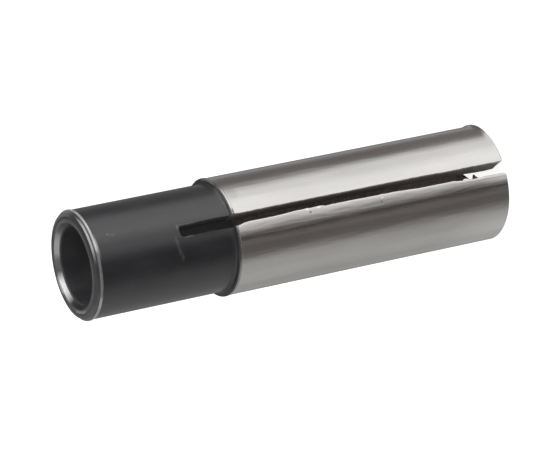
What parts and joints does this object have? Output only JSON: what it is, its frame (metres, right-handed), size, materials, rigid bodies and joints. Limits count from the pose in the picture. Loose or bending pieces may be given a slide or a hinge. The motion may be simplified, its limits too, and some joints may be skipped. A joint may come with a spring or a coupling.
{
  "type": "shank adapter sleeve",
  "caption": "One-piece steel reducing sleeve: ground shank with a lengthwise saw cut, slimmer black neck, and a through bore that a collet squeezes onto a thinner tool shank.",
  "frame": {"origin": "middle of the sawn shank end, which the sleeve stands on", "axes": "+Z along the sleeve's axis to the neck's mouth; the saw cut lies in the YZ plane and opens towards -Y and +Y"},
  "size_m": [0.0064, 0.0064, 0.0247],
  "materials": {
    "sleeve_steel": "ground bright on the shank, black oxide on the neck, its mouth, the shoulder and the bore"
  },
  "bodies": {
    "root": {"adapter_sleeve": "sleeve_steel"}
  },
  "joints": []
}
